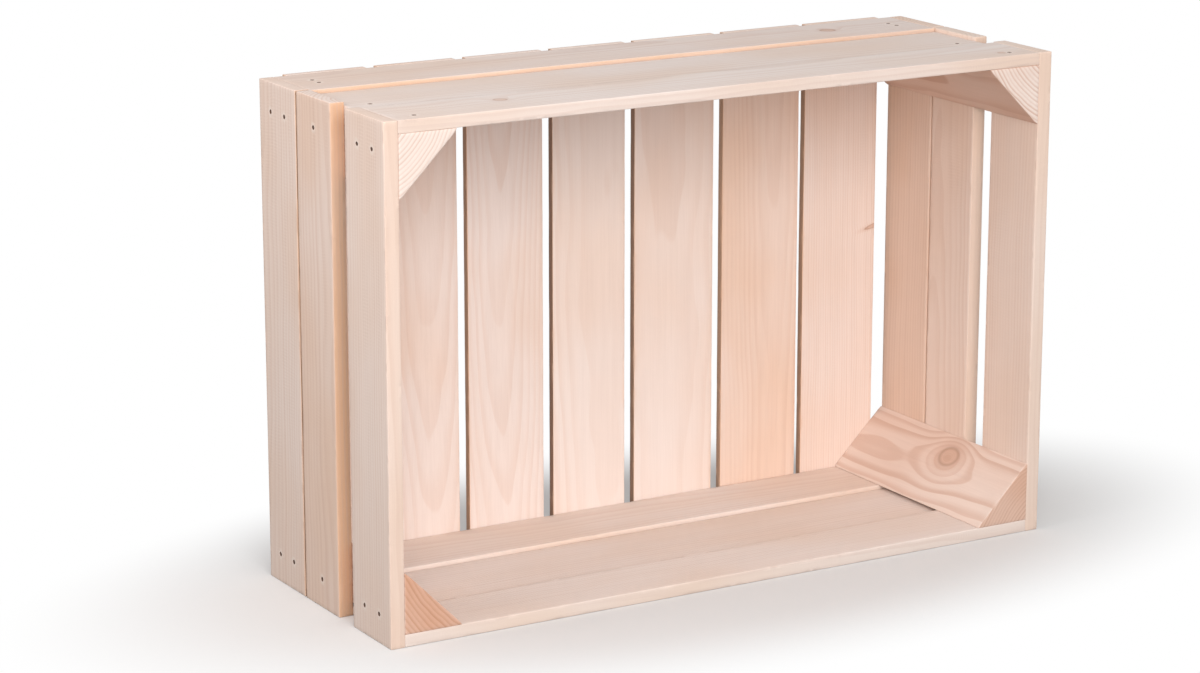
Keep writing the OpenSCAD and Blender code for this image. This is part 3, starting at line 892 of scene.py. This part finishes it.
lit_paper = put(paper_tree, "ShaderNodeMixShader", {
    0: near_crate,
    1: put(paper_tree, "ShaderNodeAddShader", {
        0: put(paper_tree, "ShaderNodeBsdfDiffuse", {"Color": linear("#E2E2E2")}),
        1: put(paper_tree, "ShaderNodeEmission", {"Color": linear("#FFFFFF"), "Strength": PAPER_GLOW}),
    }),
    2: put(paper_tree, "ShaderNodeEmission", {"Color": linear("#FFFFFF"), "Strength": 1.0}),
})
put(paper_tree, "ShaderNodeOutputMaterial", {"Surface": put(paper_tree, "ShaderNodeMixShader", {
    0: seen, 1: put(paper_tree, "ShaderNodeBsdfDiffuse", {"Color": linear("#787878")}), 2: lit_paper,
})})
floor_mesh.materials.append(paper)
floor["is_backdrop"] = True
print("floor:", 2 * FLOOR_HALF, "m across")

# %% Light it softly
world = bpy.data.worlds.new("soft_room")
bpy.context.scene.world = world
world.use_nodes = True
world_tree = world.node_tree
world_tree.nodes.clear()
world_rays = put(world_tree, "ShaderNodeLightPath").outputs
world_seen = put(world_tree, MATH, {
    0: world_rays["Is Camera Ray"],
    1: put(world_tree, MATH, {
        0: world_rays["Is Glossy Ray"], 1: world_rays["Is Transmission Ray"],
    }, operation="MAXIMUM"),
}, operation="MAXIMUM")
put(world_tree, "ShaderNodeOutputWorld", {"Surface": put(world_tree, "ShaderNodeMixShader", {
    0: world_seen,
    1: put(world_tree, "ShaderNodeBackground", {"Color": linear("#FFFFFF"), "Strength": 0.56}),
    2: put(world_tree, "ShaderNodeBackground", {"Color": linear("#FFFFFF"), "Strength": 1.0}),
})})


def softbox(name, place, target, size, watts, colour):
    """A square area lamp that faces its target."""
    lamp = bpy.data.lights.new(name, "AREA")
    lamp.shape = "SQUARE"
    lamp.size = size
    lamp.energy = watts
    lamp.color = linear(colour)[:3]
    made = bpy.data.objects.new(name, lamp)
    made.location = place
    made.rotation_euler = (Vector(target) - Vector(place)).to_track_quat("-Z", "Y").to_euler()
    bpy.context.scene.collection.objects.link(made)


AIM = (0.0, 0.0, 0.2)
softbox("front_softbox", (-0.85, -2.4, 1.1), AIM, 1.6, 54, "#FFFAF8")
softbox("left_softbox", (-1.05, -0.1, 0.75), (-0.3, 0.0, 0.3), 0.5, 3, "#FFF8F6")

# %% [markdown]
# ## Camera
# The camera's place was worked out from the crate's corners in the photo, which is 1200 by 673 pixels. It
# looks down a little on the crate's left front corner through a long lens, so the edges hardly converge.

# %% Place the camera
CAMERA_AT = (-1.431, -2.3435, 0.874)
CAMERA_DOWN = math.radians(14.2)
CAMERA_RIGHT = math.radians(30.4)
LENS_MM = 106.2
camera_data = bpy.data.cameras.new("camera")
camera_data.lens = LENS_MM
camera_data.sensor_width = 36.0
camera = bpy.data.objects.new("camera", camera_data)
camera.location = CAMERA_AT
camera.rotation_euler = (math.pi / 2 - CAMERA_DOWN, 0, -CAMERA_RIGHT)
bpy.context.scene.collection.objects.link(camera)
bpy.context.scene.camera = camera
bpy.context.scene.view_settings.view_transform = "Standard"
print("lens:", LENS_MM, "mm")

# %% [markdown]
# Last, the size of what shows is written beside the CAD model's, so that the two can be compared.

# %% Write the sizes and finish
low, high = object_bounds()
print("shown, in metres:", [round(side, 4) for side in high - low])
